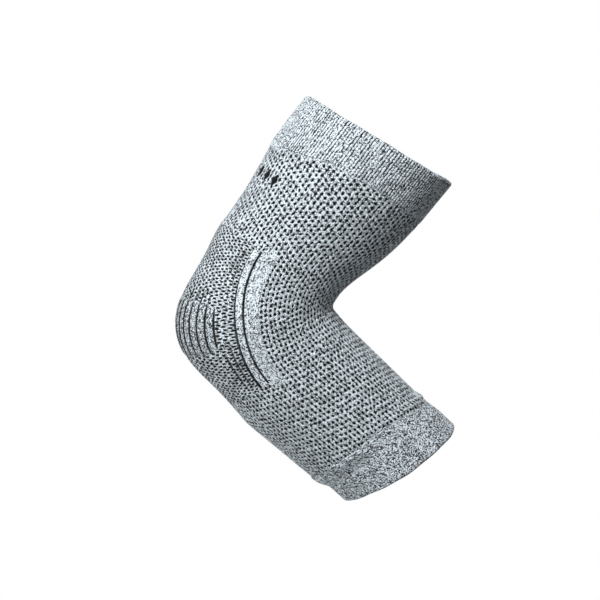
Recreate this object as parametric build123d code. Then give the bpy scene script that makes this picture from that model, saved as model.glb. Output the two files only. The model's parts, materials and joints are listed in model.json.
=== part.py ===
"""Knitted elbow compression sleeve, shaped to a bent arm.

Frame: millimetres. The origin is the centre of the upper cuff's bore, +Z runs along the upper-arm
axis towards the shoulder, +X is the side of the crook and the hand, and the sleeve is symmetric
about the plane Y = 0.

The two arm axes cross inside the elbow. Between the two tubes the knit turns like a fan about a
line parallel to Y just in front of the crook, so every band and groove of the elbow pad keeps a
constant radius from that line.
"""
from build123d import *
import os
from math import cos, pi, radians, sin

# ---- driving dimensions, mm and degrees ----
SHAPED_BEND = 85.0           # angle by which the forearm axis is bent, 0 is a straight arm
CROSSING_DEPTH = 108.2       # from the origin down to the point where the arm axes cross
FAN_DISTANCE = 55.0          # from that point to the fan line, along the bisector
CROOK_RADIUS = 4.0           # outside of the knit in the crook, from the fan line
WALL = 1.6                   # knit thickness
FACE_LAYER = 0.8             # outer half of the double knit over the elbow
RIB_RISE = 0.6               # how far the elbow ribs stand proud
BODY_GAP = 0.3               # between pieces that move apart

# Cuffs: a welt of two layers, folded at the rim, with elastic threads laid in between.
UPPER_CUFF_RADIUS = 46.8
UPPER_CUFF_HEIGHT = 28.0
UPPER_RIM = 122.2            # along the arm axis, from the axis crossing to the middle of the rim
UPPER_RIM_SLANT = 7.4        # the crook side of each rim is the longer one
UPPER_ELASTICS = 4
LOWER_CUFF_RADIUS = 36.2
LOWER_CUFF_HEIGHT = 21.0
LOWER_RIM = 121.1
LOWER_RIM_SLANT = 12.3
LOWER_ELASTICS = 3
CUFF_LAYER = 1.2
CUFF_HOLLOW = 0.8
FOLD_HEIGHT = 1.6
FOLD_ROUNDING = 0.9
SEAM_HEIGHT = 1.4            # linking course between welt and tube
SEAM_RISE = 0.4
ELASTIC_SIZE = 0.5
ELASTIC_PITCH = 5.0

# Arm tubes: distance from the axis crossing, half width on the outer side and on the crook side.
UPPER_TUBE = [(50, 40.6, 37.2), (63, 42.1, 40.7), (77, 44.3, 43.9), (92, 45.7, 45.7), (107, 46.0, 46.1)]
LOWER_TUBE = [(50, 41.6, 35.5), (63, 40.7, 35.3), (77, 39.9, 35.2), (92, 38.7, 35.0), (112, 36.4, 35.2)]
STIFF_TUBE_START = 71.0      # beyond this the tube keeps its shape when the arm bends

# Fan: outer radius at its two ends, and the rise over the point of the elbow.
FAN_RADIUS_UPPER = 80.3
FAN_RADIUS_LOWER = 81.4
FAN_SECTIONS = 11
ELBOW_RISE = 10.8
ELBOW_RISE_CENTRE = 4.0      # degrees from the bisector, towards the hand
ELBOW_RISE_SPREAD = 32.0
ELBOW_DEPTH_RISE = 1.2       # extra half depth across the elbow
FLATTENING = 0.05            # half depth less half width at the ends of the fan

# Elbow pad: bands at constant radius from the fan line, and ribs over the point of the elbow.
PAD_EDGE = 62.7
SIDE_BAND_EDGE = 58.1
PLAIN_BAND_EDGE = 50.0
GROOVE = 0.5
RIB_COUNT = 13
RIB_PITCH = 8.3              # degrees round the sleeve
RIB_GROOVE = 1.4             # degrees
RIB_LENGTH = 31.0
SIDE_RIB_LENGTH = 21.0       # the ribs get shorter towards the sides
REACH = 300.0                # more than the sleeve, for solids that only cut

ARM_ANGLE = 180.0 - SHAPED_BEND
HALF_FAN = SHAPED_BEND / 2


def direction(angle):
    """Unit vector in the plane Y = 0, turned by angle from +Z towards +X."""
    return Vector(sin(radians(angle)), 0, cos(radians(angle)))


CROSSING = Vector(0, 0, -CROSSING_DEPTH)
FAN_LINE = CROSSING + direction(ARM_ANGLE / 2) * FAN_DISTANCE
FAN_END = FAN_DISTANCE * cos(radians(ARM_ANGLE / 2))
AXIS_TO_FAN_LINE = FAN_DISTANCE * sin(radians(ARM_ANGLE / 2))

# Each arm has its own plane: local Z along the arm away from the elbow, local X to the crook side.
UPPER_ARM = Plane(origin=CROSSING, x_dir=direction(90), z_dir=direction(0))
FOREARM = Plane(origin=CROSSING, x_dir=direction(ARM_ANGLE - 90), z_dir=direction(ARM_ANGLE))


# ---- shapes ----
def fan_radius(turn):
    """Outer radius from the fan line, turn degrees from the bisector towards the hand."""
    share = (turn + HALF_FAN) / SHAPED_BEND
    ends = FAN_RADIUS_UPPER + (FAN_RADIUS_LOWER - FAN_RADIUS_UPPER) * share
    return ends + ELBOW_RISE * elbow_rise(turn)


def elbow_rise(turn):
    """From 0 at the edge of the elbow's swelling to 1 at its top."""
    away = min(abs(turn - ELBOW_RISE_CENTRE) / ELBOW_RISE_SPREAD, 1.0)
    return cos(away * pi / 2) ** 2


def fan_loft(inset):
    """The elbow as one solid, its surface moved inwards by inset."""
    sections = []
    for i in range(FAN_SECTIONS):
        turn = -HALF_FAN + SHAPED_BEND * i / (FAN_SECTIONS - 1)
        angle = ARM_ANGLE / 2 + 180 - turn
        radius = fan_radius(turn)
        half_width = (radius - CROOK_RADIUS) / 2
        straight = fan_radius(turn) - ELBOW_RISE * elbow_rise(turn)
        half_depth = (straight - CROOK_RADIUS) / 2 - FLATTENING + ELBOW_DEPTH_RISE * elbow_rise(turn)
        middle = FAN_LINE + direction(angle) * ((radius + CROOK_RADIUS) / 2)
        plane = Plane(origin=middle, x_dir=direction(angle), z_dir=direction(angle - 90))
        sections.append(plane * Ellipse(half_width - inset, half_depth - inset))
    return loft(sections)


def tube_loft(stations, end_radius, inset):
    """One arm's tube in its local plane, from the fan outwards, its surface moved inwards by inset."""
    first = (FAN_END, end_radius - AXIS_TO_FAN_LINE, AXIS_TO_FAN_LINE - CROOK_RADIUS)
    sections = []
    for distance, outer, crook in [first] + stations:
        half_width = (outer + crook) / 2 - inset
        place = Pos((crook - outer) / 2, 0, distance)
        sections.append(place * Ellipse(half_width, half_width - FLATTENING))
    return loft(sections)


def slanted(height, slant):
    """Plane across an arm, higher on the crook side."""
    normal = (-sin(radians(slant)), 0, cos(radians(slant)))
    return Plane(origin=(0, 0, height), z_dir=normal)


def between(solid, low, high):
    """The part of a solid between two planes that face along +Z."""
    return split(split(solid, bisect_by=low, keep=Keep.TOP), bisect_by=high, keep=Keep.BOTTOM)


def ring(outer_radius, inner_radius, low, high):
    """A round ring about local Z, between two slanted planes."""
    middle = (low.origin.Z + high.origin.Z) / 2
    solid = Cylinder(outer_radius, REACH) - Cylinder(inner_radius, REACH)
    return between(Pos(0, 0, middle) * solid, low, high)


def fan_cylinder(radius):
    """Everything nearer to the fan line than radius."""
    return Plane(origin=FAN_LINE, x_dir=(1, 0, 0), z_dir=(0, 1, 0)) * Cylinder(radius, REACH)


def make_tube(stations, end_radius, rim, slant, cuff_height):
    """The bending stretch next to the elbow and the stretch that keeps its shape."""
    knit = tube_loft(stations, end_radius, 0) - tube_loft(stations, end_radius, WALL)
    start = slanted(FAN_END + BODY_GAP / 2, 0)
    change = slanted(STIFF_TUBE_START, 0)
    cuff_edge = slanted(rim - cuff_height - SEAM_HEIGHT, slant)
    return between(knit, start, change), between(knit, change, cuff_edge)


def make_cuff(radius, rim, slant, height, elastics):
    """Face layer, lining, fold at the rim and elastic threads of one welt."""
    bore = radius - 2 * CUFF_LAYER - CUFF_HOLLOW
    low = slanted(rim - height, slant)
    fold_line = slanted(rim - FOLD_HEIGHT, slant)
    face = ring(radius, radius - CUFF_LAYER, low, fold_line)
    lining = ring(bore + CUFF_LAYER, bore, low, fold_line)
    fold = ring(radius, bore, fold_line, slanted(rim, slant))
    fold = fillet(fold.faces().sort_by(Axis.Z)[-1].edges(), FOLD_ROUNDING)
    threads = []
    thread_radius = radius - CUFF_LAYER - CUFF_HOLLOW / 2
    for i in range(elastics):
        top = rim - FOLD_HEIGHT - ELASTIC_PITCH * (i + 0.8)
        thread = ring(
            thread_radius + ELASTIC_SIZE / 2,
            thread_radius - ELASTIC_SIZE / 2,
            slanted(top - ELASTIC_SIZE, slant),
            slanted(top, slant),
        )
        threads.append(thread)
    return face, lining, fold, threads


def make_seam(stations, end_radius, radius, rim, slant, height):
    """Linking course that joins the tube to the welt and stands a little proud of the tube."""
    bore = radius - 2 * CUFF_LAYER - CUFF_HOLLOW
    low = slanted(rim - height - SEAM_HEIGHT, slant)
    high = slanted(rim - height, slant)
    solid = tube_loft(stations, end_radius, -SEAM_RISE) - Pos(0, 0, rim) * Cylinder(bore, REACH)
    return between(solid, low, high)


def trim_to_fan(solid):
    """Cut a piece of the elbow back from the two planes where the tubes begin."""
    clear = FAN_END - BODY_GAP / 2
    for arm in (UPPER_ARM, FOREARM):
        end = Plane(origin=arm.origin + arm.z_dir * clear, z_dir=arm.z_dir)
        solid = split(solid, bisect_by=end, keep=Keep.BOTTOM)
    return solid


def rib_wedge(turn_round, width, length):
    """Wedge about the elbow's mid line that one rib lies in, width and turn in degrees."""
    mean_radius = (fan_radius(0) + CROOK_RADIUS) / 2
    outward = direction(ARM_ANGLE / 2 + 180)
    middle = FAN_LINE + outward * mean_radius
    along = direction(ARM_ANGLE / 2 + 90 - ELBOW_RISE_CENTRE)
    plane = Plane(origin=middle, x_dir=outward, z_dir=along)
    edges = [turn_round - width / 2, turn_round + width / 2]
    corners = [(REACH * cos(radians(a)), REACH * sin(radians(a))) for a in edges]
    outline = make_face(Polyline((0, 0), corners[0], corners[1], close=True))
    slide = -ELBOW_RISE_CENTRE * mean_radius * pi / 180
    wedge = extrude(outline, amount=length / 2, both=True)
    return plane * (Pos(0, 0, -slide) * wedge)


def one_side(solid, sign):
    """The half of a solid on one side of the plane of symmetry."""
    return split(solid, bisect_by=Plane.XZ, keep=Keep.BOTTOM if sign > 0 else Keep.TOP)


# ---- the elbow ----
outer_loft = fan_loft(0)
middle_loft = fan_loft(FACE_LAYER)
inner_loft = fan_loft(WALL)
raised_loft = fan_loft(-RIB_RISE)

nodes = {}
knit = trim_to_fan(outer_loft - inner_loft)
nodes["crook_knit"] = knit & fan_cylinder(PLAIN_BAND_EDGE)
plain_zone = fan_cylinder(SIDE_BAND_EDGE - GROOVE / 2) - fan_cylinder(PLAIN_BAND_EDGE)
side_zone = fan_cylinder(PAD_EDGE - GROOVE / 2) - fan_cylinder(SIDE_BAND_EDGE + GROOVE / 2)
for name, zone in (("plain_band", plain_zone), ("side_band", side_zone)):
    bands = knit & zone
    for side, sign in (("left", 1), ("right", -1)):
        nodes[f"{name}_{side}"] = one_side(bands, sign)

pad_hole = fan_cylinder(PAD_EDGE + GROOVE / 2)
nodes["elbow_pad_base"] = trim_to_fan(middle_loft - inner_loft) - pad_hole
pad_face = trim_to_fan(outer_loft - middle_loft) - pad_hole
rib_layer = raised_loft - middle_loft
for i in range(RIB_COUNT):
    place = i - (RIB_COUNT - 1) / 2
    share = abs(place) / ((RIB_COUNT - 1) / 2)
    length = RIB_LENGTH - (RIB_LENGTH - SIDE_RIB_LENGTH) * share**3
    nodes[f"elbow_rib_{i + 1:02d}"] = rib_layer & rib_wedge(place * RIB_PITCH, RIB_PITCH - RIB_GROOVE, length)
    pad_face -= rib_wedge(place * RIB_PITCH, RIB_PITCH + RIB_GROOVE / 2, length + GROOVE)
nodes["elbow_tuck_knit"] = pad_face

# ---- the two arms ----
for arm, label, tube_label, stations, end_radius, radius, rim, slant, height, elastics in (
    (UPPER_ARM, "upper", "upper_arm", UPPER_TUBE, FAN_RADIUS_UPPER, UPPER_CUFF_RADIUS, UPPER_RIM,
     UPPER_RIM_SLANT, UPPER_CUFF_HEIGHT, UPPER_ELASTICS),
    (FOREARM, "lower", "forearm", LOWER_TUBE, FAN_RADIUS_LOWER, LOWER_CUFF_RADIUS, LOWER_RIM,
     LOWER_RIM_SLANT, LOWER_CUFF_HEIGHT, LOWER_ELASTICS),
):
    bend, stiff = make_tube(stations, end_radius, rim, slant, height)
    face, lining, fold, threads = make_cuff(radius, rim, slant, height, elastics)
    nodes[f"{tube_label}_bend_knit"] = arm * bend
    nodes[f"{tube_label}_knit"] = arm * stiff
    nodes[f"{label}_cuff_seam"] = arm * make_seam(stations, end_radius, radius, rim, slant, height)
    nodes[f"{label}_cuff_face"] = arm * face
    nodes[f"{label}_cuff_lining"] = arm * lining
    nodes[f"{label}_cuff_fold"] = arm * fold
    for i, thread in enumerate(threads):
        nodes[f"{label}_elastic_{i + 1}"] = arm * thread

os.makedirs("parts", exist_ok=True)
for name, shape in nodes.items():
    export_step(shape, f"parts/{name}.step")
    print(name, len(shape.solids()), round(shape.volume, 1))
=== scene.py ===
"""Knitted elbow sleeve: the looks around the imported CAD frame. Blender 4.5, metres.

The sleeve is described by sections. Along each arm a section is an ellipse across the arm axis, and
round the elbow it is an ellipse through the fan line, turned step by step. Every knitted piece is a
closed shell on those sections, with its stitches as real relief, and a UV map that counts stitch
columns (U) and stitch rows (V), so that the yarn in the material lies on the stitches of the mesh.
"""
import json
import math

import bpy
import numpy as np
from mathutils import Matrix, Vector
from mathutils.bvhtree import BVHTree


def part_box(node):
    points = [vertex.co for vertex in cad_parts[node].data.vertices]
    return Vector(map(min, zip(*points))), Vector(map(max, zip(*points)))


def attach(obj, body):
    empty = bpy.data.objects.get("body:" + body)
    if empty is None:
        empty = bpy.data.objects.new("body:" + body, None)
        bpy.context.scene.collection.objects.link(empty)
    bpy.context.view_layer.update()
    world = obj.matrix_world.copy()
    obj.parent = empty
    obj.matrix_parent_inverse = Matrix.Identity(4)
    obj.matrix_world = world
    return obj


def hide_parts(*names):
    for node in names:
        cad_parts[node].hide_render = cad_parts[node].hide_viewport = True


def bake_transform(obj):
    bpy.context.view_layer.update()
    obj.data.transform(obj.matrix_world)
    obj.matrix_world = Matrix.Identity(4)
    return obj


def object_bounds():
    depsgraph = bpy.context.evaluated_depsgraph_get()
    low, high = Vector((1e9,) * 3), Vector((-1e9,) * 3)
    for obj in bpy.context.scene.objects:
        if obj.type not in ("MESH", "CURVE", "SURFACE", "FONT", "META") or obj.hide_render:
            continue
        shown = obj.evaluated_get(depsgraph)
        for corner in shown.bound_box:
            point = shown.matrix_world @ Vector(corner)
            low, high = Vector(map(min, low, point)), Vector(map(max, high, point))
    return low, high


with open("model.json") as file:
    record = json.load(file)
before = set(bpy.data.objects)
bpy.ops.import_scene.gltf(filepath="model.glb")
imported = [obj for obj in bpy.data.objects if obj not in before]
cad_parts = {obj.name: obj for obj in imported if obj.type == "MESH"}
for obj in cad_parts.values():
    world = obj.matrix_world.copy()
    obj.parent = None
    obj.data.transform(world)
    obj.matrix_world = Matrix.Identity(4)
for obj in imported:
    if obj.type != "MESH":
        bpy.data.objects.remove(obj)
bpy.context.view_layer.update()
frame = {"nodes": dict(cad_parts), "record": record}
RECORD = frame["record"]
MM = 0.001
random = np.random.default_rng(7)

# ---- driving dimensions, in metres and degrees ----
DOUBLE_KNIT_FACE = 0.8 * MM      # outer half of the elbow's double knit
KNIT_THICKNESS = 1.5 * MM
WALES = 96                       # stitch columns of the mesh knit round the sleeve
WALE_STEPS = 5                   # vertices across one column
WALE_SHIFT = 69 / 96             # each column starts this much of a row after its neighbour
MESH_ROW = 3.2 * MM              # one eyelet to the next along an arm
CROOK_ROW = 2.85 * MM
CROOK_WALES = 27                 # columns of mesh knit each side of the crook line, inside the plain band
PAD_EDGE = 62.7 * MM             # radii of the two long grooves from the fan line
SIDE_BAND_EDGE = 58.1 * MM
PAD_TURNS = (-38.7, 37.3)        # ends of the elbow pad
CUFF_RIBS = 160
LAYER = 1.1 * MM                 # one layer of a cuff
FOLD_HEIGHT = 1.6 * MM
SEAM_HEIGHT = 1.4 * MM
ROWS_ABOVE = 24                  # eyelets down the upper arm before the elbow
RIM_BOW = {"upper": -1.3 * MM, "lower": 0.4 * MM}    # how much further a rim reaches at its sides
RIM_REACH = {"upper": 0, "lower": 1.7 * MM}          # and all round
BLOUSE = {"upper": 0.2 * MM, "lower": 1.0 * MM}      # how far the mesh puffs out beside a seam
CLOSER = 0.6 * MM                # the upper arm's outer side lies this much closer than the plain solid
FLAT_TIP = 1.1 * MM              # the pad lies this much flatter over the point of the elbow
FLAT_TURN = -12.0                # and most of all at this turn


# ---- the frame: arm axes, fan line and the measured sections ----
def vec(v):
    return np.array(v, float)


MOUNTS = {m["name"]: m for m in RECORD["mounts"]}
ACROSS = vec((0, -1, 0))
upper_axis = vec(MOUNTS["upper_arm_opening"]["axis"])
lower_axis = vec(MOUNTS["forearm_opening"]["axis"])
lower_bore = vec(MOUNTS["forearm_opening"]["pos_m"])
CROSSING = lower_bore - lower_axis * lower_bore[0] / lower_axis[0]
ARM_ANGLE = math.degrees(math.acos(float(upper_axis @ lower_axis)))
HALF_FAN = (180 - ARM_ANGLE) / 2
BODY_GAP = 0.15 * MM             # between the solids of two bodies
ARM_STATIONS = 18
FAN_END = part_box("upper_arm_bend_knit")[0].z - CROSSING[2] - BODY_GAP
FAN_DISTANCE = FAN_END / math.cos(math.radians(ARM_ANGLE / 2))


def direction(angle):
    """Unit vectors in the plane Y = 0, turned by angle degrees from +Z towards +X."""
    a = np.radians(np.asarray(angle, float))
    return np.stack([np.sin(a), 0 * a, np.cos(a)], axis=-1)


FAN_LINE = CROSSING + direction(ARM_ANGLE / 2) * FAN_DISTANCE


def points_of(name):
    """The vertices of a CAD node."""
    return np.array([v.co for v in frame["nodes"][name].data.vertices])


def tree_of(*names):
    """Ray tree of some CAD nodes."""
    points, faces = [], []
    for name in names:
        mesh = frame["nodes"][name].data
        first = len(points)
        points += [v.co.copy() for v in mesh.vertices]
        faces += [[first + i for i in p.vertices] for p in mesh.polygons]
    return BVHTree.FromPolygons(points, faces)


def reach_in(tree, centre, towards, start=80 * MM):
    """How far the tree's outside is from centre, looking back from a point that far outside."""
    hit = tree.ray_cast(Vector(centre + towards * start), Vector(-towards))
    return start - hit[3]


class Arm:
    """One arm's axes, the half widths of its sections (outer side, crook side and depth), and its rim.

    The tube's CAD nodes begin with the body's name, and the cuff's with the label."""

    def __init__(self, label, body, axis, crook_way, mount):
        self.label, self.body, self.axis, self.crook_way = label, body, axis, crook_way
        tube = tree_of(f"{body}_bend_knit", f"{body}_knit")
        cuff = tree_of(f"{label}_cuff_face", f"{label}_cuff_fold")
        middle = float((vec(MOUNTS[mount]["pos_m"]) - CROSSING) @ axis)
        self.bore = MOUNTS[mount]["dims"]["r_mm"] * MM
        self.outer = self.profile(tube, -crook_way)
        self.crook = self.profile(tube, crook_way)
        self.depth = self.profile(tube, ACROSS)
        self.cuff_radius = self.measure(cuff, middle, ACROSS)
        self.rim, self.slant = self.measure_rim()

    def measure(self, tree, t, way):
        return reach_in(tree, CROSSING + self.axis * t, way)

    def profile(self, tree, way):
        """Stations along one side of the tube, up to the seam, and the half widths there."""
        co = points_of(f"{self.label}_cuff_seam") - CROSSING
        sideways = co @ way
        end = (co @ self.axis)[sideways > sideways.max() - 1 * MM].min()
        stations = np.linspace(FAN_END + 0.5 * MM, end - 0.5 * MM, ARM_STATIONS)
        return stations, np.array([self.measure(tree, t, way) for t in stations])

    def measure_rim(self):
        """The rim's distance along the arm on its middle line, and how much it rises towards the crook."""
        co = points_of(f"{self.label}_cuff_fold") - CROSSING
        along, side = co @ self.axis, co @ self.crook_way
        high = along[side > side.max() - 2 * MM].max()
        low = along[side < side.min() + 2 * MM].max()
        return (high + low) / 2, (high - low) / (side.max() - side.min() - 2 * MM)

    def place(self, t, x, y):
        """Points from distance along the arm, distance to the crook side and depth to the camera side."""
        t, x, y = (value[..., None] for value in np.broadcast_arrays(t, x, y))
        return CROSSING + t * self.axis + x * self.crook_way + y * ACROSS

    def tube(self, t, round_angle, inset=0.0):
        """The tube's surface. The round angle is 0 on the outer line and grows to the camera side."""
        outer, crook, depth = (np.interp(t, *side) for side in (self.outer, self.crook, self.depth))
        half = (outer + crook) / 2 - inset
        a = np.radians(round_angle)
        return self.place(t, (crook - outer) / 2 - half * np.cos(a), (depth - inset) * np.sin(a))


UPPER = Arm("upper", "upper_arm", upper_axis, direction(90), "upper_arm_opening")
LOWER = Arm("lower", "forearm", lower_axis, direction(ARM_ANGLE - 90), "forearm_opening")
UPPER.outer[1][:] -= CLOSER

pad_tree = tree_of("elbow_pad_base")
crook_tree = tree_of("crook_knit")
CROOK_RADIUS = crook_tree.ray_cast(Vector(FAN_LINE), Vector(direction(ARM_ANGLE / 2 + 180)))[3]
FAN_STATIONS = np.linspace(-HALF_FAN + 0.5, HALF_FAN - 0.5, 29)    # turns, half a degree inside the ends


def fan_way(turn):
    """From the fan line to the outer line, turn degrees from the bisector towards the hand."""
    return direction(ARM_ANGLE / 2 + 180 - np.asarray(turn, float))


def measure_fan():
    """Outer radius and half depth of the elbow's sections."""
    radii, depths = [], []
    for turn in FAN_STATIONS:
        way = fan_way(turn)
        radius = reach_in(pad_tree, FAN_LINE, way, 150 * MM) + DOUBLE_KNIT_FACE
        middle = FAN_LINE + way * (radius + CROOK_RADIUS) / 2
        radii.append(radius)
        depths.append(reach_in(crook_tree, middle, ACROSS))
    return np.array(radii), np.array(depths)


FAN_RADII, FAN_DEPTHS = measure_fan()
FAN_RADII -= CLOSER * np.clip((FLAT_TURN - FAN_STATIONS) / 30, 0, 1)
AXIS_RADIUS = FAN_DISTANCE * math.sin(math.radians(ARM_ANGLE / 2))
for end, arm in ((0, UPPER), (-1, LOWER)):
    FAN_RADII[end] = AXIS_RADIUS + arm.outer[1][0]
    FAN_DEPTHS[end] = arm.depth[1][0]
FAN_RADII -= FLAT_TIP * np.exp(-(((FAN_STATIONS - FLAT_TURN) / 18) ** 2))


def column_radius(turn, round_angle):
    """Distance from the fan line of a stitch column. Inside the pad's edge it stays constant."""
    top = np.interp(turn, FAN_STATIONS, FAN_RADII)
    plain = np.interp(turn, [-HALF_FAN, HALF_FAN], [FAN_RADII[0], FAN_RADII[-1]])
    r = (plain + CROOK_RADIUS) / 2 + (plain - CROOK_RADIUS) / 2 * np.cos(np.radians(round_angle))
    over_pad = PAD_EDGE + (r - PAD_EDGE) * (top - PAD_EDGE) / (plain - PAD_EDGE)
    return np.where(r <= PAD_EDGE, r, over_pad)


def fan(turn, radius, side):
    """The elbow's surface at a radius from the fan line, on one side."""
    top = np.interp(turn, FAN_STATIONS, FAN_RADII)
    depth = np.interp(turn, FAN_STATIONS, FAN_DEPTHS)
    share = (2 * radius - top - CROOK_RADIUS) / (top - CROOK_RADIUS)
    y = depth * np.sqrt(np.clip(1 - share**2, 0, 1)) * side
    turn, radius, y = np.broadcast_arrays(turn, radius, y)
    return FAN_LINE + fan_way(turn) * radius[..., None] + y[..., None] * ACROSS


def fan_columns(turn, round_angle):
    """The elbow's surface by stitch column."""
    return fan(turn, column_radius(turn, round_angle), np.sign(round_angle))


# ---- meshes ----
def normals_of(grid, wraps):
    """Outward unit normals of a grid of points, rows along the sleeve and columns round it."""
    if wraps:
        ring = np.concatenate([grid[:, -2:-1], grid, grid[:, 1:2]], axis=1)
        round_it = ring[:, 2:] - ring[:, :-2]
    else:
        round_it = np.gradient(grid, axis=1)
    n = np.cross(np.gradient(grid, axis=0), round_it)
    return n / np.maximum(np.linalg.norm(n, axis=-1, keepdims=True), 1e-12)


def new_mesh(name, points, quads, corner_uv, values, smooth):
    """An object from numpy arrays, with a UV map and one float per vertex: the painted shade, which
    darkens the yarn's colour.
    """
    mesh = bpy.data.meshes.new(name)
    mesh.vertices.add(len(points))
    mesh.vertices.foreach_set("co", points.astype(np.float32).ravel())
    mesh.loops.add(len(quads) * 4)
    mesh.loops.foreach_set("vertex_index", quads.astype(np.int32).ravel())
    mesh.polygons.add(len(quads))
    mesh.polygons.foreach_set("loop_start", np.arange(0, len(quads) * 4, 4, dtype=np.int32))
    mesh.polygons.foreach_set("use_smooth", smooth)
    uv = mesh.uv_layers.new(name="stitches")
    uv.data.foreach_set("uv", corner_uv.astype(np.float32).ravel())
    # painted shade: a float per vertex that darkens the colour in grooves
    shade = mesh.attributes.new("shade", "FLOAT", "POINT")
    shade.data.foreach_set("value", values.astype(np.float32))
    mesh.update(calc_edges=True)
    mesh.validate()
    obj = bpy.data.objects.new(name, mesh)
    bpy.context.scene.collection.objects.link(obj)
    return obj


def corners(left, right):
    """The four corners of each face, from values on its left and right edges."""
    return np.stack([left[:-1], left[1:], right[1:], right[:-1]], axis=-1)


def shell(name, outside, inside, u, v_edges, wraps, keep, shade):
    """A closed shell between two grids of points, rows along the sleeve and columns round it.
    v_edges are the stitch rows on the left and right edges of each column of faces."""
    rows, cols = outside.shape[:2]
    index = np.arange(rows * cols).reshape(rows, cols)
    if wraps:
        index[:, -1] = index[:, 0]
    faces = corners(index[:, :-1], index[:, 1:])[keep]
    uv = np.stack([corners(u[:, :-1], u[:, 1:])[keep], corners(*v_edges)[keep]], axis=-1)
    total = rows * cols
    edges = np.concatenate([faces[:, [k, (k + 1) % 4]] for k in range(4)])
    edge_uv = np.concatenate([uv[:, [k, (k + 1) % 4]] for k in range(4)])
    edge_numbers = np.sort(edges, axis=1) @ [total, 1]
    _, first, count = np.unique(edge_numbers, return_index=True, return_counts=True)
    rim = first[count == 1]
    e, rim_uv = edges[rim], edge_uv[rim][:, [1, 0, 0, 1]]
    rim_faces = np.stack([e[:, 1], e[:, 0], e[:, 0] + total, e[:, 1] + total], axis=-1)
    quads = np.concatenate([faces, faces[:, ::-1] + total, rim_faces])    # outside, inside and rim
    uvs = np.concatenate([uv, uv[:, ::-1], rim_uv])
    smooth = np.arange(len(quads)) < 2 * len(faces)
    points = np.concatenate([outside.reshape(-1, 3), inside.reshape(-1, 3)])
    # painted shade on the outside; none on the inside
    values = np.concatenate([shade.ravel(), 0 * shade.ravel()])
    used = np.unique(quads)
    renumber = np.zeros(len(points), int)
    renumber[used] = np.arange(len(used))
    return new_mesh(name, points[used], renumber[quads], uvs, values[used], smooth)


def flat_size(base):
    """Mean width across the columns and mean length along the rows."""
    across = np.linalg.norm(np.diff(base, axis=1), axis=-1).sum(axis=1).mean()
    along = np.linalg.norm(np.diff(base, axis=0), axis=-1).sum(axis=0).mean()
    return float(across), float(along)


def knit(names, base, u, v, relief, thickness=KNIT_THICKNESS, wraps=False, keep=None, shade=0.0,
         cut=None):
    """Pieces of knit: the outside is the base surface with relief, and the inside lies a thickness in.

    There is one name, or two for a piece in halves that meet at the row cut. u and v are the stitch
    columns and rows at the vertices, or v is a pair: the rows on the left and right edges of each column
    of faces. keep says which faces are made."""
    n = normals_of(base, wraps)
    left, right = v if isinstance(v, tuple) else (v[:, :-1], v[:, 1:])
    if wraps:
        relief[:, -1] = relief[:, 0]
    if keep is None:
        keep = np.ones((base.shape[0] - 1, base.shape[1] - 1), bool)
    # shade is painted shade: it darkens the yarn's colour, 1 at its darkest
    shade = np.broadcast_to(shade, u.shape)
    outside = base + n * relief[..., None]
    inside = base - n * thickness
    ends = [0, len(base) - 1] if cut is None else [0, cut, len(base) - 1]
    pieces = []
    for name, first, last in zip(names, ends, ends[1:]):
        part = slice(first, last + 1)
        edges = (left[part], right[part])
        faces = keep[first:last]
        obj = shell(name, outside[part], inside[part], u[part], edges, wraps, faces, shade[part])
        flat_size(base[part])
        pieces.append(obj)
    return pieces


def bump(x, width):
    return np.exp(-((x / width) ** 2))


def wale_of(u):
    """The whole stitch column, safe against rounding just below it."""
    return np.floor(u + 1e-6)


CELLS = random.random((256, 256))    # how open each eyelet is


def mesh_relief(u, v):
    """Open mesh knit: an eyelet in each cell, with two raised legs of yarn beside it."""
    wale, row = wale_of(u), np.floor(v)
    luck = CELLS[wale.astype(int) % WALES, row.astype(int) % len(CELLS)]
    x, y = u - wale - 0.5, v - row - 0.5
    pit = bump(x, 0.2) * bump(y, 0.24) * (0.55 + 0.45 * luck)
    swell = 0.6 + 0.4 * np.cos(2 * np.pi * (y - 0.1)) * np.cos(np.pi * x) ** 2
    legs = bump(np.abs(x) - 0.34, 0.14) * swell
    return (0.16 * legs - 0.85 * pit) * MM


def stitch_relief(u, v, height):
    """Plain knit: one raised V-shaped stitch in each cell."""
    x = u - wale_of(u) - 0.5
    wave = np.cos(2 * np.pi * (v + 0.8 * np.abs(x)))
    return height * (np.cos(2 * np.pi * x) * 0.4 + 0.35 * wave * np.cos(np.pi * x) ** 2)


def grid_of(rows, cols):
    return np.meshgrid(rows, cols, indexing="ij")


# ---- the mesh knit ----
MESH_COLUMNS = np.arange(0, WALES * WALE_STEPS + 1) / WALE_STEPS
STRIP_ROWS = 7                   # rows of vertices on the strip between the tube and the pad


def round_angle(u):
    """Angle round the sleeve of a stitch column, 0 on the outer line."""
    return -180 + 360 * np.mod(u, WALES) / WALES


def mesh_rows(along, wale):
    """Eyelets from the upper arm to a place along the sleeve, which runs below 0 on the upper arm, from
    0 to 1 across the elbow and above 1 on the forearm. A column has a whole number across the elbow, so
    that both arms stay in step."""
    radius = column_radius(-HALF_FAN, round_angle(wale + 0.5))
    across = np.round(np.radians(2 * HALF_FAN) * radius / CROOK_ROW)
    on_arms = np.minimum(along, 0) + np.maximum(along - 1, 0)
    return ROWS_ABOVE + on_arms + across * np.clip(along, 0, 1) + wale * WALE_SHIFT


def mesh_knit(names, base, u, along, wraps=False, keep=None, cut=None):
    """A piece of open mesh knit, its eyelets as pits on the outside."""
    face_wale = wale_of(u[:1, :-1])
    v_edges = (mesh_rows(along[:, :-1], face_wale), mesh_rows(along[:, 1:], face_wale))
    relief = mesh_relief(u, mesh_rows(along, wale_of(u)))
    return knit(names, base, u, v_edges, relief, wraps=wraps, keep=keep, cut=cut)


def ease(x):
    x = np.clip(x, 0, 1)
    return x * x * (3 - 2 * x)


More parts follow.
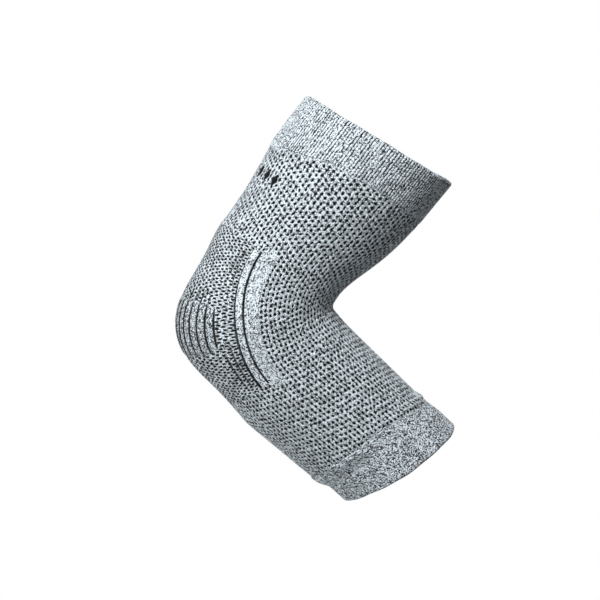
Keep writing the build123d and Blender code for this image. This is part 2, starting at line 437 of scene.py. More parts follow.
def rim_line(arm, a):
    """Distance along the arm of the rim, by round angle."""
    a = np.radians(a)
    ripple = 0.2 * np.sin(5 * a + 0.7) + 0.12 * np.sin(13 * a) - 0.2
    bow = RIM_REACH[arm.label] + RIM_BOW[arm.label] * np.sin(a) ** 2
    return arm.rim - arm.cuff_radius * np.cos(a) * arm.slant + ripple * MM + bow


def cuff_height(arm, a):
    """Height of the cuff from its seam to the rim, by round angle."""
    a = np.radians(a)
    if arm is UPPER:
        wander = 6.2 * np.cos(a / 2) ** 10 - 5.0 * np.sin(a) ** 2
        ripple = 0.35 * np.sin(9 * a + 1) + 0.3 * np.sin(23 * a)
        return (28.0 + wander + ripple) * MM
    ripple = 0.5 * np.sin(7 * a + 2) + 0.45 * np.sin(17 * a + 0.5) + 0.2 * np.sin(31 * a)
    return (20.8 + 7.5 * np.sin(a) ** 2 + ripple) * MM


def arm_mesh(arm, rows, pad_turn):
    """The mesh knit of one arm: the tube, and on the outer side the strip of the elbow up to the pad."""
    sign = -1 if arm is UPPER else 1
    share, u = grid_of(np.linspace(1, 0, rows), MESH_COLUMNS)
    a = round_angle(u)
    end = rim_line(arm, a) - cuff_height(arm, a) - SEAM_HEIGHT
    t = FAN_END + (end - FAN_END) * share
    puff = BLOUSE[arm.label] * (0.55 - 0.45 * np.cos(np.radians(a)))
    tube = arm.tube(t, a, inset=-puff * bump(end - t - 3 * MM, 2 * MM))
    along = (0 if arm is UPPER else 1) + sign * (t - FAN_END) / MESH_ROW
    turn, strip_u = grid_of(np.linspace(sign * HALF_FAN, pad_turn, STRIP_ROWS + 1)[1:], MESH_COLUMNS)
    strip = fan_columns(turn, round_angle(strip_u))
    keep = np.ones((rows + STRIP_ROWS - 1, len(MESH_COLUMNS) - 1), bool)
    keep[rows - 1:, :CROOK_WALES * WALE_STEPS] = False
    keep[rows - 1:, -CROOK_WALES * WALE_STEPS:] = False
    base = np.concatenate([tube, strip])
    u = np.concatenate([u, strip_u])
    along = np.concatenate([along, (turn + HALF_FAN) / (2 * HALF_FAN)])
    if arm is LOWER:
        base, u, along, keep = base[::-1], u[::-1], along[::-1], keep[::-1]
    return mesh_knit([f"{arm.body}_mesh"], base, u, along, wraps=True, keep=keep)


def turns_between(first, last, rows):
    """Turns in even steps each side of the bisector, and the row that lies on it."""
    cut = int(round(rows * first / (first - last)))
    return np.concatenate([np.linspace(first, 0, cut + 1), np.linspace(0, last, rows - cut)[1:]]), cut


def half_names(name):
    return [f"{name}_upper", f"{name}_lower"]


def crook_mesh():
    """The mesh knit round the crook, from one plain band to the other."""
    steps = CROOK_WALES * WALE_STEPS
    turns, cut = turns_between(-HALF_FAN, HALF_FAN, 125)
    turn, u = grid_of(turns, np.arange(-steps, steps + 1) / WALE_STEPS)
    side = np.where(u < 0, 1.0, -1.0)
    base = fan(turn, column_radius(turn, round_angle(u)), side)
    return mesh_knit(half_names("crook_mesh"), base, u, (turn + HALF_FAN) / (2 * HALF_FAN), cut=cut)


# ---- the elbow pad and its bands ----
PLAIN_STITCH = (1.45 * MM, 1.15 * MM)   # width of a stitch column and height of a row
TUCK_WALES = 27                  # stitch columns across the pad
TUCK_STEPS = 8                   # vertices across one column
TUCK_ROW = 2.4 * MM
LINING_STEPS = 121
SHORT_ARCS = [                   # short grooves beside the long one: how far from it, turns and depth, which sets their relief and their painted shade
    (4.2 * MM, 10, 33, 0.9),
    (8.2 * MM, 14, 33, 0.8),
    (4.0 * MM, -36, -20, 0.7),
    (7.8 * MM, -36, -24, 0.6),
]
GROOVE_HALF = 0.16 * MM          # half the width of a long groove
RIB_SQUEEZE = 0.955              # the ribs sit this much closer together than their plain solids
RIB_SHIFT = -1.0                 # and this many degrees nearer the upper arm
RUN_OUT = (6.0, 2.5)             # degrees that their grooves run on to the upper arm and to the forearm
RIB_NODES = sorted(n for n in frame["nodes"] if n.startswith("elbow_rib_"))
TIP_RADIUS = float(FAN_RADII.max())


def band(name, side, edges, limits):
    """A smooth band of plain knit between two radii, its edges turned down into the grooves and darkened
    there with painted shade.

    The first edge is a radius in metres, or a stitch column's round angle where the band goes over
    into the mesh and has no groove. The second edge is a radius."""
    turns, cut = turns_between(*limits, 160)
    close_at_edges = (1 - np.cos(np.linspace(0, np.pi, 31))) / 2
    turn, share = grid_of(turns, close_at_edges)
    starts_in_mesh = edges[0] > 1
    low = column_radius(turn, edges[0]) if starts_in_mesh else edges[0]
    high = edges[1]
    radius = low + (high - low) * share
    base = fan(turn, radius, side)
    width = float(np.mean(high - low))
    u = share * round(width / PLAIN_STITCH[0])
    v = np.radians(turn) * radius / PLAIN_STITCH[1]
    from_groove = 1 - share if starts_in_mesh else np.minimum(share, 1 - share)
    # roll turns the edges down into the grooves, and is also the painted shade there
    roll = np.minimum(1.4 * bump(from_groove * width, 0.33 * MM), 1)
    relief = stitch_relief(u, v, 0.12 * MM) + (0.1 - 0.7 * roll) * MM
    if side > 0:
        base, u, v, relief, roll = (grid[:, ::-1] for grid in (base, u, v, relief, roll))
    return knit(half_names(name), base, u, v, relief, shade=roll, cut=cut)


def pad_columns(steps):
    """Round angles across the elbow pad, from one long groove over the outer line to the other."""
    angles = np.arange(180, -1, -1.0)
    reach = np.interp(PAD_EDGE + GROOVE_HALF, column_radius(0.0, angles), angles)
    return np.linspace(-reach, reach, steps)


def column_angle(turn, section_angle):
    """The stitch column's round angle at an angle of the elbow's own section."""
    top = np.interp(turn, FAN_STATIONS, FAN_RADII)
    radius = (top + CROOK_RADIUS) / 2 + (top - CROOK_RADIUS) / 2 * np.cos(np.radians(section_angle))
    angles = np.arange(180, -1, -1.0)
    return np.sign(section_angle) * np.interp(radius, column_radius(turn, angles), angles)


def measure_rib(name):
    """A rib's round angle, its middle turn, half its turn and half its width, from its CAD node."""
    co = points_of(name) - FAN_LINE
    rho = np.hypot(co[:, 0], co[:, 2])
    turn = ARM_ANGLE / 2 + 180 - np.degrees(np.arctan2(co[:, 0], co[:, 2])) % 360
    top = np.interp(turn, FAN_STATIONS, FAN_RADII)
    depth = np.interp(turn, FAN_STATIONS, FAN_DEPTHS)
    across = (2 * rho - top - CROOK_RADIUS) / (top - CROOK_RADIUS)
    angle = np.degrees(np.arctan2(-co[:, 1] / depth, across)) * RIB_SQUEEZE
    middle = (turn.max() + turn.min()) / 2
    first, last = column_angle(middle, angle.min()), column_angle(middle, angle.max())
    half_turn = (turn.max() - turn.min()) / 2
    return (first + last) / 2, middle + RIB_SHIFT, half_turn, (last - first) / 2


RIBS = {name: measure_rib(name) for name in RIB_NODES}


def in_ribs(turn, angle, margin):
    """1 under the ribs and in the grooves between them, 0 well outside. It ends margin degrees early."""
    centre, middle, half_turn, half = np.array(sorted(RIBS.values())).T
    across = 1 - ease((np.abs(angle) - centre[-1] - half[-1] + 0.3) / 0.7)
    reach = np.interp(angle, centre, half_turn) - margin
    along = 1 - ease((np.abs(turn - np.interp(angle, centre, middle)) - reach) / margin)
    return across * along


def rib_run_outs(turn, angle):
    """The grooves between the ribs run out a little into the stitches round them: 1 in a groove."""
    centre, middle, half_turn, half = np.array(sorted(RIBS.values())).T
    borders = (centre[:-1] + half[:-1] + centre[1:] - half[1:]) / 2
    grooves = 0 * turn
    for number, border in enumerate(borders):
        reach = half_turn[number:number + 2].mean()
        from_middle = turn - middle[number:number + 2].mean()
        begun = ease((from_middle + reach + RUN_OUT[0]) / 3)
        ended = ease((from_middle - reach - RUN_OUT[1] + 3) / 3)
        across = np.radians(angle - border) * UPPER.cuff_radius
        grooves = np.maximum(grooves, begun * (1 - ended) * bump(across, 0.5 * MM))
    return grooves


def tuck_relief(u, v):
    """Tuck stitches: columns of slanted stitches that lean one way and then the other."""
    x = u - wale_of(u) - 0.5
    v = v + 0.5 * np.mod(wale_of(u), 2)
    lean = 0.4 * np.abs(np.mod(v + 1, 2) - 1) - 0.2
    dash = np.clip(0.45 + 0.9 * np.cos(2 * np.pi * v), 0, 1)
    return (0.12 * np.cos(2 * np.pi * (x - lean)) - 0.45 * bump(x - lean, 0.19) * dash) * MM


def tuck_field():
    """The outer half of the double knit round the ribs."""
    columns = pad_columns(TUCK_WALES * TUCK_STEPS + 1)
    turns, cut = turns_between(*PAD_TURNS, 231)
    turn, angle = grid_of(turns, columns)
    base = fan_columns(turn, angle)
    u = np.broadcast_to(np.arange(len(columns)) / TUCK_STEPS, angle.shape)
    v = np.radians(turn) * TIP_RADIUS / TUCK_ROW
    cover = in_ribs(turn, angle, 1.5)
    from_edge = np.radians(columns[-1] - np.abs(angle)) * UPPER.cuff_radius
    edge = np.maximum(bump(from_edge, 0.33 * MM), rib_run_outs(turn, angle))
    for distance, first, last, depth in SHORT_ARCS:
        part = ease((turn - first) / 4) * (1 - ease((turn - last) / 4))
        edge = np.maximum(edge, depth * part * bump(from_edge - distance, 0.45 * MM))
    relief = tuck_relief(u, v) * (1 - cover) - (0.3 * cover + 0.6 * edge) * MM
    # painted shade: dark under the ribs and between them, in the long groove at the pad's edge, in the
    # run-outs and in the short grooves
    shade = np.maximum(in_ribs(turn, angle, 3.0), edge)
    names = half_names("tuck_field")
    return knit(names, base, u, v, relief, thickness=1.3 * MM, shade=shade, cut=cut)


def pad_base():
    """The inner half of the double knit, seen from inside the sleeve."""
    turns, cut = turns_between(*PAD_TURNS, 119)
    turn, angle = grid_of(turns, pad_columns(LINING_STEPS))
    outer = fan_columns(turn, angle)
    base = (outer - normals_of(outer, False) * 1.9 * MM)[:, ::-1]
    u = np.broadcast_to(np.arange(LINING_STEPS) * 0.6, angle.shape)
    v = np.radians(turn) * TIP_RADIUS / PLAIN_STITCH[1]
    relief = stitch_relief(u, v, 0.15 * MM)
    return knit(half_names("pad_lining"), base, u, v, relief, thickness=0.5 * MM, cut=cut)


def elbow_rib(name):
    """One padded rib: rounded across, running out at its ends, with painted shade along its sides."""
    centre, middle, half_turn, half = RIBS[name]
    along, across = grid_of(np.linspace(-1, 1, 91), np.sin(np.linspace(-1, 1, 21) * np.pi / 2))
    base = fan_columns(middle + along * (half_turn + 0.8), centre + across * half * 0.92)
    round_top = np.sqrt(np.clip(1 - across**6, 0, 1)) * np.clip(1 - np.abs(along) ** 12, 0, 1)
    u = across * 2 + 12 * RIB_NODES.index(name)    # its own flecks of yarn
    v = along * np.radians(half_turn) * TIP_RADIUS / PLAIN_STITCH[1]
    relief = (0.95 * round_top - 0.5) * MM + stitch_relief(u + 0.5, v, 0.1 * MM) * round_top
    # painted shade along the rib's two sides, where it dips into the grooves between ribs; it fades at the
    # ends
    shade = np.minimum(1.6 * bump(1 - np.abs(across), 0.24), 1) * (1 - along**8)
    names = [f"{name}_padded"]
    return knit(names, base, u, v, relief, thickness=0.7 * MM, shade=shade)


# ---- the cuffs ----
CUFF_STEPS = 4                   # vertices across one rib
CUFF_COLUMNS = np.arange(0, CUFF_RIBS * CUFF_STEPS + 1) / CUFF_STEPS
CUFF_ROW = 1.25 * MM
CUFF_EASE = {"upper": 28 * MM, "lower": 9 * MM}    # above the seam, the length that turns into the tube
RIM_PULL = {                     # how far the rim is pulled in on the outer side and on the crook side
    "upper": (0.9 * MM, 0),
    "lower": (0.8 * MM, -0.4 * MM),
}


def cuff_angle(u):
    return -180 + 360 * u / CUFF_RIBS


def cuff_wall(arm, a, drop, inset):
    """A wall of the cuff, drop below its rim and inset from its outside. It meets the tube at the seam."""
    t = rim_line(arm, a) - drop
    r = np.radians(a)
    radius = arm.cuff_radius - inset
    swell = (0.25 * np.sin(3 * r + 1) + 0.2 * np.sin(5 * r)) * MM
    outer, crook = RIM_PULL[arm.label]
    pulled = outer * np.clip(np.cos(r), 0, 1) + crook * np.clip(-np.cos(r), 0, 1)
    size = radius + swell - pulled * (1 - drop / (28 * MM))
    round_wall = arm.place(t, -size * np.cos(r), size * np.sin(r))
    share = inset / (arm.cuff_radius - arm.bore)
    tube = arm.tube(t, a, inset=-0.35 * MM + share * (KNIT_THICKNESS + 0.4 * MM))
    easing = CUFF_EASE[arm.label]
    meet = np.clip((drop - cuff_height(arm, a) + easing) / easing, 0, 1)[..., None]
    meet = meet if arm is UPPER else ease(meet)
    return round_wall + (tube - round_wall) * meet


def rib_relief(u, v, deep):
    """Rib welt: rounded ribs along the arm with V stitches on them."""
    x = u - wale_of(u) - 0.5
    edge = bump(0.5 - np.abs(x), 0.2)
    stitches = np.cos(2 * np.pi * (v + 0.8 * np.abs(x))) * np.cos(np.pi * x) ** 2
    return (deep * (0.5 - edge) + 0.06 * stitches) * MM


def cuff_relief(arm, u, v):
    if arm is UPPER:
        return rib_relief(u, v, 0.34)
    return stitch_relief(u, v, 0.17 * MM) + 0.05 * MM


def cuff_knit(arm, name, base, u, v, thickness, relief=None, inside=False):
    """A ring of knit on a cuff, its rows in the order that turns the normals to the side that shows."""
    relief = cuff_relief(arm, u, v) if relief is None else relief
    if (arm is UPPER) != inside:
        base, u, v, relief = (grid[::-1] for grid in (base, u, v, relief))
    return knit([name], base, u, v, relief, thickness=thickness, wraps=True)[0]


def cuff_layer(arm, name, inside):
    """The face or the lining of a cuff, from the seam up to the fold."""
    share, u = grid_of(np.linspace(0, 1, 24 if inside else 44), CUFF_COLUMNS)
    a = cuff_angle(u)
    height = cuff_height(arm, a)
    drop = height + (FOLD_HEIGHT - height) * share
    inset = arm.cuff_radius - arm.bore if inside else 0.0
    base = cuff_wall(arm, a, drop, inset)
    return cuff_knit(arm, name, base, u, -drop / CUFF_ROW, LAYER, inside=inside)


def cuff_fold(arm, name):
    """The rim, where the welt folds over from its face to its lining."""
    turn, u = grid_of(np.linspace(0, np.pi, 13), CUFF_COLUMNS)
    a = cuff_angle(u)
    thick = arm.cuff_radius - arm.bore
    inset = thick * (1 - np.cos(turn)) / 2
    drop = FOLD_HEIGHT * (1 - np.sin(turn))
    base = cuff_wall(arm, a, drop, inset)
    v = (turn * 1.6 * MM - FOLD_HEIGHT) / CUFF_ROW
    return cuff_knit(arm, name, base, u, v, 1.0 * MM)


def seam(arm, name):
    """The linking course: a row of chain loops between the mesh and the cuff."""
    share, u = grid_of(np.linspace(0, 1, 7), CUFF_COLUMNS)
    a = cuff_angle(u)
    drop = cuff_height(arm, a) + SEAM_HEIGHT * (1 - share)
    base = cuff_wall(arm, a, drop, 0.0)
    x = u - wale_of(u) - 0.5
    loop = np.sin(np.pi * share) * (0.6 + 0.4 * np.cos(2 * np.pi * x))
    height = 0.3 if arm is UPPER else 0.55
    return cuff_knit(arm, name, base, u, share, KNIT_THICKNESS, relief=(height * loop - 0.25) * MM)


# ---- plain marks in place of lettering ----
MARK_HEIGHT = 7.5 * MM
MARK_TURN = 3.2                  # half its width, as a round angle
MARK_PLACE = 68 * MM             # distance along the upper arm
MARK_ANGLES = {1: 12.0, 2: 24.0, 3: 35.0}
MARK_STITCH = (1.9, 1.2 * MM)    # a stitch's round angle and its height


def mark(number):
    """A small dark lozenge, a thin patch that lies on the mesh of the upper arm."""
    p, q = grid_of(np.linspace(-1, 1, 15), np.linspace(-1, 1, 15))
    angle = MARK_ANGLES[number]
    a = angle + MARK_TURN * (p + q) / 2
    along = MARK_PLACE + MARK_HEIGHT / 2 * (q - p) / 2
    base = UPPER.tube(along, a)
    u, v = (a - angle) / MARK_STITCH[0], along / MARK_STITCH[1]
    relief = 0.34 * MM + stitch_relief(u, v, 0.06 * MM)
    return knit([f"plain_mark_{number}"], base, u, v, relief, thickness=-0.1 * MM)[0]


# ---- materials ----
HEATHER_TINT = (0.90, 1.0, 1.075)
GREYS = (                        # yarn lightness from 0 to 1, and the grey it gives
    (0.0, 0.008),
    (0.3, 0.09),
    (0.55, 0.36),
    (0.8, 0.78),
    (1.0, 0.92),
)
CYCLE = 6.283                    # a cosine's whole wave


class Yarn:
    """One knit material. Its nodes read the stitch columns and rows of the UV map."""

    def __init__(self, name, roughness=0.85, sheen=0.08):
        self.material = bpy.data.materials.new(name)
        self.material.use_nodes = True
        self.tree = self.material.node_tree
        self.shader = self.tree.nodes["Principled BSDF"]
        self.shader.inputs["Roughness"].default_value = roughness
        self.shader.inputs["Sheen Weight"].default_value = sheen
        self.shader.inputs["Sheen Roughness"].default_value = 0.4
        self.shader.inputs["Specular IOR Level"].default_value = 0.2

    def add(self, kind, inputs=(), output=0, **settings):
        """A node with its inputs in order: each a value, another node's output, or None to leave it."""
        node = self.tree.nodes.new(kind)
        for key, value in settings.items():
            setattr(node, key, value)
        for socket, value in zip(node.inputs, inputs):
            if isinstance(value, bpy.types.NodeSocket):
                self.tree.links.new(value, socket)
            elif value is not None:
                socket.default_value = value
        return node.outputs[output]

    def math(self, operation, *values, clamp=False):
        return self.add("ShaderNodeMath", values, operation=operation, use_clamp=clamp)

    def bell(self, value, width):
        """exp(-(value / width)^2)"""
        square = self.math("POWER", self.math("ABSOLUTE", self.math("DIVIDE", value, width)), 2.0)
        return self.math("EXPONENT", self.math("MULTIPLY", square, -1.0))

    def stitches(self):
        """The stitch column and row, and the place in the stitch from -0.5 to 0.5."""
        uv = self.add("ShaderNodeUVMap", uv_map="stitches")
        split = self.tree.nodes.new("ShaderNodeSeparateXYZ")
        self.tree.links.new(uv, split.inputs[0])
        self.u, self.v = split.outputs[0], split.outputs[1]
        self.x = self.math("SUBTRACT", self.math("FRACT", self.u), 0.5)
        self.y = self.math("SUBTRACT", self.math("FRACT", self.v), 0.5)
        column, row = self.math("FLOOR", self.u), self.math("FLOOR", self.v)
        cell = self.add("ShaderNodeCombineXYZ", (column, row, 0.0))
        luck = self.add("ShaderNodeTexWhiteNoise", (cell,), output="Color", noise_dimensions="2D")
        split = self.tree.nodes.new("ShaderNodeSeparateColor")
        self.tree.links.new(luck, split.inputs[0])
        self.luck = list(split.outputs)[:3]

    def fibre(self, width, height, scale, stretch, detail=2.0, seed=0.0):
        """Noise along the yarn: width and height are a stitch's size in mm, scale is in flecks per mm."""
        across = self.math("MULTIPLY", self.u, width * scale)
        along = self.math("MULTIPLY", self.v, height * scale / stretch)
        place = self.add("ShaderNodeCombineXYZ", (across, along, seed))
        return self.add("ShaderNodeTexNoise", (place, None, 1.0, detail, 0.6), output="Fac")

    def flecks(self, width, height, scale, seed=0.0):
        """Small patches, each with its own lightness, as many to the mm as scale."""
        across = self.math("MULTIPLY", self.u, width * scale)
        along = self.math("MULTIPLY", self.v, height * scale)
        place = self.add("ShaderNodeCombineXYZ", (across, along, seed))
        return self.add("ShaderNodeTexVoronoi", (place, None, 1.0), output="Color")

    def sum(self, start, *terms):
        """start plus each (value, weight)."""
        total = start
        for value, weight in terms:
            total = self.math("MULTIPLY_ADD", value, weight, total)
        return total

    def finish(self, light, height, strength, tint=HEATHER_TINT, distance=0.4 * MM):
        """Colour from how light the yarn is, 0 to 1, darkened in grooves by painted shade from the shade
        attribute, and bump from a height.
        """
        # painted shade, read from the shade attribute
        groove = self.add("ShaderNodeAttribute", attribute_name="shade", output="Fac")
        light = self.math("MULTIPLY", light, self.math("SUBTRACT", 1.0, groove, clamp=True))
        ramp = self.tree.nodes.new("ShaderNodeValToRGB")
        for place, _ in GREYS[1:-1]:
            ramp.color_ramp.elements.new(place)
        for stop, (place, grey) in zip(ramp.color_ramp.elements, GREYS):
            stop.position = place
            stop.color = (*(min(grey * c, 1.0) for c in tint), 1.0)
        self.tree.links.new(light, ramp.inputs[0])
        self.tree.links.new(ramp.outputs[0], self.shader.inputs["Base Color"])
        bump_node = self.tree.nodes.new("ShaderNodeBump")
        bump_node.inputs["Strength"].default_value = strength
        bump_node.inputs["Distance"].default_value = distance
        self.tree.links.new(height, bump_node.inputs["Height"])
        self.tree.links.new(bump_node.outputs[0], self.shader.inputs["Normal"])
        return self.material


def heather(yarn, width, height, amount=1.0):
    """Light and dark fibres spun together: flecks, longer streaks and slow drifts, about 0 on average."""
    fleck = yarn.flecks(width, height, 1.65, seed=3.0)
    fine = yarn.fibre(width, height, 1.9, 1.3, detail=1.0, seed=5.0)
    streak = yarn.fibre(width, height, 0.6, 3.0, seed=11.0)
    drift = yarn.fibre(width, height, 0.09, 1.5, seed=23.0)
    start = -0.6 - 2.7 * amount
    return yarn.sum(start, (fleck, 2.4 * amount), (fine, 3.0 * amount), (streak, 0.9), (drift, 0.3))


def mesh_yarn():
    """Painted highlights on the two legs of yarn, and painted shade in the eyelet between them, each
    eyelet a little out of its place.
    """
    yarn = Yarn("mesh_yarn")
    yarn.stitches()
    x = yarn.math("MULTIPLY_ADD", yarn.math("SUBTRACT", yarn.luck[0], 0.5), 0.12, yarn.x)
    y = yarn.math("MULTIPLY_ADD", yarn.math("SUBTRACT", yarn.luck[1], 0.5), 0.24, yarn.y)
    # painted shade: each eyelet darkened nearly to black for the shaded inside of the sleeve seen through
    # it
    eyelet = yarn.math("MULTIPLY", yarn.bell(x, 0.21), yarn.bell(y, 0.19))
    depth = yarn.math("MULTIPLY_ADD", yarn.luck[2], 0.7, 0.75)
    eyelet = yarn.math("MINIMUM", yarn.math("MULTIPLY", eyelet, depth), 1.0)
    # painted highlight on each leg of yarn
    leg_highlight = yarn.bell(yarn.math("SUBTRACT", yarn.math("ABSOLUTE", x), 0.33), 0.12)
    slant = yarn.math("MULTIPLY_ADD", yarn.math("ABSOLUTE", x), 5.0, yarn.math("MULTIPLY", y, 12.57))
    wave = yarn.math("COSINE", slant)
    light = yarn.sum(heather(yarn, 2.75, 3.2, 0.85), (leg_highlight, 0.25), (wave, 0.07), (eyelet, -3.6))
    light = yarn.math("ADD", light, 0.72, clamp=True)
    return yarn.finish(light, yarn.sum(light, (wave, 0.15), (eyelet, -0.8)), 0.6)


def tuck_yarn():
    """Dark slanted gaps that lean one way and then the other, as in tuck_relief."""
    yarn = Yarn("tuck_yarn")
    yarn.stitches()
    odd = yarn.math("MODULO", yarn.math("FLOOR", yarn.u), 2.0)
    v = yarn.math("MULTIPLY_ADD", odd, 0.5, yarn.v)
    zigzag = yarn.math("PINGPONG", v, 1.0)
    lean = yarn.math("MULTIPLY_ADD", zigzag, 0.4, -0.2)
    x = yarn.math("SUBTRACT", yarn.x, lean)
    wave = yarn.math("COSINE", yarn.math("MULTIPLY", v, CYCLE))
    dash = yarn.math("MULTIPLY_ADD", wave, 0.9, 0.45, clamp=True)
    gap = yarn.math("MULTIPLY", yarn.bell(x, 0.21), dash)
    light = yarn.sum(heather(yarn, 3.4, 2.4, 0.5), (gap, -4.0), (yarn.luck[0], 0.2))
    light = yarn.math("ADD", light, 0.64, clamp=True)
    return yarn.finish(light, yarn.sum(light, (gap, -0.6)), 0.5)


def plain_yarn(name, width, height, lightness, gap_depth=0.25, amount=1.0):
    """Plain stitches: small V legs, with fine dark gaps between the columns."""
    yarn = Yarn(name)
    yarn.stitches()
    slant = yarn.math("MULTIPLY", yarn.math("ABSOLUTE", yarn.x), 5.0)
    wave = yarn.math("COSINE", yarn.math("MULTIPLY_ADD", yarn.v, CYCLE, slant))
    patches = yarn.fibre(width, height, 0.3, 5.0, seed=31.0)
    broken = yarn.math("MULTIPLY_ADD", patches, 3.0, -0.7, clamp=True)
    edge = yarn.bell(yarn.math("SUBTRACT", yarn.math("ABSOLUTE", yarn.x), 0.5), 0.17)
    gap = yarn.math("MULTIPLY", edge, broken)
    light = yarn.sum(heather(yarn, width, height, amount), (gap, -gap_depth), (wave, 0.08))
    light = yarn.math("ADD", light, lightness, clamp=True)
    return yarn.finish(light, yarn.sum(light, (wave, 0.3), (gap, -0.4)), 0.5)


def elastic_thread():
    """White covered elastic: fine wraps round the thread."""
    yarn = Yarn("elastic_cover", roughness=0.6)
    place = yarn.add("ShaderNodeTexCoord", output="Object")
    waves = (place, 900.0, 1.5, 2.0)
    wraps = yarn.add("ShaderNodeTexWave", waves, output="Fac", bands_direction="DIAGONAL")
    light = yarn.math("MULTIPLY_ADD", wraps, 0.25, 0.68)
    return yarn.finish(light, wraps, 0.3, tint=(1.0, 1.0, 0.98))


def plain_surface(name, grey, scale):
    """A matt studio surface with a faint grain."""
    yarn = Yarn(name, roughness=0.9, sheen=0.0)
    place = yarn.add("ShaderNodeTexCoord", output="Object")
    grain = yarn.add("ShaderNodeTexNoise", (place, None, scale, 2.0), output="Fac")
    light = yarn.math("MULTIPLY_ADD", grain, 0.04, grey)
    return yarn.finish(light, grain, 0.02, tint=(1.0, 1.0, 1.0))


MATERIALS = {
    "mesh": mesh_yarn(),
    "tuck": tuck_yarn(),
    "rib": plain_yarn("rib_yarn", 1.5, 1.15, 0.58, gap_depth=0.12),
    "band": plain_yarn("band_yarn", 1.45, 1.15, 0.9),
    "upper_cuff": plain_yarn("upper_cuff_yarn", 1.84, 1.25, 1.05, gap_depth=1.7, amount=1.15),
    "lower_cuff": plain_yarn("lower_cuff_yarn", 1.42, 1.25, 0.74, amount=1.35),
    "lining": plain_yarn("lining_yarn", 1.5, 1.25, 0.6),
    "seam": plain_yarn("seam_yarn", 1.5, 1.4, 0.95, gap_depth=0.5),
    "mark": plain_yarn("mark_yarn", 1.5, 1.2, -0.4, amount=0.25),
    "elastic": elastic_thread(),
}


# ---- putting it together ----
MESH_LINES = {"upper": 93, "lower": 100}           # rows of vertices along a tube


def bend(obj):
    """Bakes the piece's placement into its mesh."""
    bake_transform(obj)


def dress(obj, material, slot, *nodes):
    """Give a piece its material, and hide the CAD nodes it stands for. slot is not used."""
    obj.data.materials.append(MATERIALS[material])
    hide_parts(*nodes)


def build_arm(arm, pad_turn):
    """One arm: its mesh with the marks, and the cuff with its rim and linking course."""
    label, body = arm.label, arm.body
    (mesh,) = arm_mesh(arm, MESH_LINES[label], pad_turn)
    dress(mesh, "mesh", "mesh_knit", f"{body}_knit", f"{body}_bend_knit")
    bend(mesh)
    marks = [mark(number) for number in MARK_ANGLES] if arm is UPPER else []
    for obj in marks:
        dress(obj, "mark", "mesh_knit")
        bend(obj)
    outside = cuff_layer(arm, f"{label}_cuff_outside", inside=False)
    inside = cuff_layer(arm, f"{label}_cuff_inside", inside=True)
    rim = cuff_fold(arm, f"{label}_cuff_rim")
    link = seam(arm, f"{label}_cuff_link")
    welt = "rib_welt" if arm is UPPER else "plain_welt"
    dress(outside, f"{label}_cuff", welt, f"{label}_cuff_face")
    dress(inside, "lining", welt, f"{label}_cuff_lining")
    dress(rim, f"{label}_cuff", welt, f"{label}_cuff_fold")
    dress(link, "seam", "linking_thread", f"{label}_cuff_seam")
    for obj in (outside, inside, rim, link):
        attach(obj, body)


def build_elbow():
    """The crook's mesh with its strips, the pad's two layers and the ribs."""
    plain_edges = (180 * (1 - CROOK_WALES / (WALES / 2)), SIDE_BAND_EDGE - GROOVE_HALF)
    side_edges = (SIDE_BAND_EDGE + GROOVE_HALF, PAD_EDGE - GROOVE_HALF)
    pieces = [
        (crook_mesh(), "mesh", "mesh_knit", "crook_knit"),
        (tuck_field(), "tuck", "pad_knit", "elbow_tuck_knit"),
        (pad_base(), "lining", "pad_knit", "elbow_pad_base"),
    ]
    for word, side in (("left", -1), ("right", 1)):
        plain = band(f"plain_strip_{word}", side, plain_edges, (-HALF_FAN, HALF_FAN))
        edge = band(f"side_strip_{word}", side, side_edges, PAD_TURNS)
        pieces.append((plain, "band", "plain_knit", f"plain_band_{word}"))
        pieces.append((edge, "band", "plain_knit", f"side_band_{word}"))
    for made, material, slot, node in pieces:
        for obj, arm in zip(made, (UPPER, LOWER)):
            dress(obj, material, slot, node)
            bend(obj)
    for name in RIB_NODES:
        for obj in elbow_rib(name):
            dress(obj, "rib", "pad_knit", name)
            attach(obj, "elbow")


build_arm(UPPER, PAD_TURNS[0])
build_arm(LOWER, PAD_TURNS[1])
build_elbow()
for name, obj in frame["nodes"].items():
    if "_elastic_" in name:
        obj.data.materials.clear()
        obj.data.materials.append(MATERIALS["elastic"])


# ---- studio: pale floor, soft light, and a camera at the photograph's angle ----
FLOOR_DROP = 0.5                 # the floor is this far under the sleeve
FLOOR_RADIUS = 0.95
CAMERA_AZIMUTH = -10.0
CAMERA_ROLL = 38.5
FIELD = 0.330                    # width of the view at the sleeve
LENS = 200.0
SENSOR = 36.0

azimuth = math.radians(CAMERA_AZIMUTH)
roll = math.radians(CAMERA_ROLL)
vertical = vec((0, 0, 1))
to_camera = vec((math.sin(azimuth), -math.cos(azimuth), 0))
level = vec((math.cos(azimuth), math.sin(azimuth), 0))
right = level * math.cos(roll) + vertical * math.sin(roll)
up = vertical * math.cos(roll) - level * math.sin(roll)
target = CROSSING + 32.6 * MM * right + 7.1 * MM * up    # the middle of the picture
lights = {                       # place seen from the target, size and power
    "key": (up * 1.25 + to_camera * 1.15 - right * 0.08, 0.7, 29),
    "fill": (to_camera * 0.75 - vertical * 0.42 - level * 0.55, 0.3, 2.7),
    "back": (vertical * 0.6 - to_camera * 1.3, 0.9, 6),
    "hand_side": (vertical * 0.2 + level * 0.8 - to_camera * 1.2, 0.9, 2.5),
}


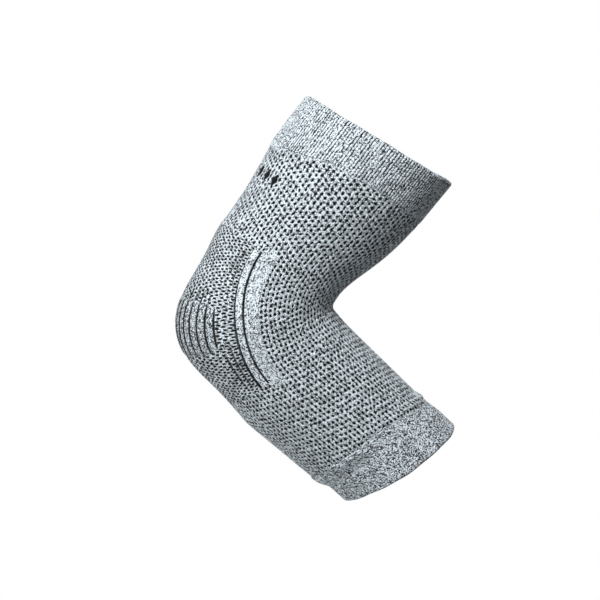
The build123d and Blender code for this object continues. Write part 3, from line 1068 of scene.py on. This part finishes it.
def looking(place, side, top, back):
    """A matrix with its X, Y and Z axes along side, top and back."""
    upper_rows = np.column_stack([side, top, back, place])
    return Matrix([*upper_rows.tolist(), (0, 0, 0, 1)])


def add_camera():
    data = bpy.data.cameras.new("camera")
    data.lens, data.sensor_width = LENS, SENSOR
    camera = bpy.data.objects.new("camera", data)
    bpy.context.scene.collection.objects.link(camera)
    camera.matrix_world = looking(target + to_camera * FIELD * LENS / SENSOR, right, up, to_camera)
    bpy.context.scene.camera = camera


def add_light(name, place, size, power):
    """A round soft light that looks at the target."""
    data = bpy.data.lights.new(name, "AREA")
    data.shape, data.size, data.energy = "DISK", size, power
    lamp = bpy.data.objects.new(name, data)
    bpy.context.scene.collection.objects.link(lamp)
    lamp.location = place
    lamp.rotation_euler = Vector(place - target).to_track_quat("Z", "Y").to_euler()


def add_floor():
    """A round floor below the sleeve."""
    around = np.linspace(0, 2 * np.pi, 97)[:-1]
    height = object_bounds()[0].z - FLOOR_DROP
    rim = [(FLOOR_RADIUS * math.cos(a), FLOOR_RADIUS * math.sin(a), height) for a in around]
    wedges = [(0, i + 1, (i + 1) % len(rim) + 1) for i in range(len(rim))]
    mesh = bpy.data.meshes.new("floor")
    mesh.from_pydata([(*target[:2], height), *rim], [], wedges)
    floor = bpy.data.objects.new("floor", mesh)
    bpy.context.scene.collection.objects.link(floor)
    mesh.materials.append(plain_surface("floor_paint", 0.78, 30.0))


def set_world(ambient):
    """White behind the sleeve, and an even soft light from all round."""
    world = bpy.data.worlds.new("studio")
    bpy.context.scene.world = world
    world.use_nodes = True
    nodes, links = world.node_tree.nodes, world.node_tree.links
    path = nodes.new("ShaderNodeLightPath")
    strength = nodes.new("ShaderNodeMapRange")
    strength.inputs["To Min"].default_value = ambient
    strength.inputs["To Max"].default_value = 1.0
    links.new(path.outputs["Is Camera Ray"], strength.inputs["Value"])
    links.new(strength.outputs[0], nodes["Background"].inputs["Strength"])
    nodes["Background"].inputs["Color"].default_value = (1, 1, 1, 1)


add_camera()
add_floor()
set_world(0.1)
for name, (offset, size, power) in lights.items():
    add_light(name, target + offset, size, power)
bpy.context.scene.view_settings.view_transform = "Standard"
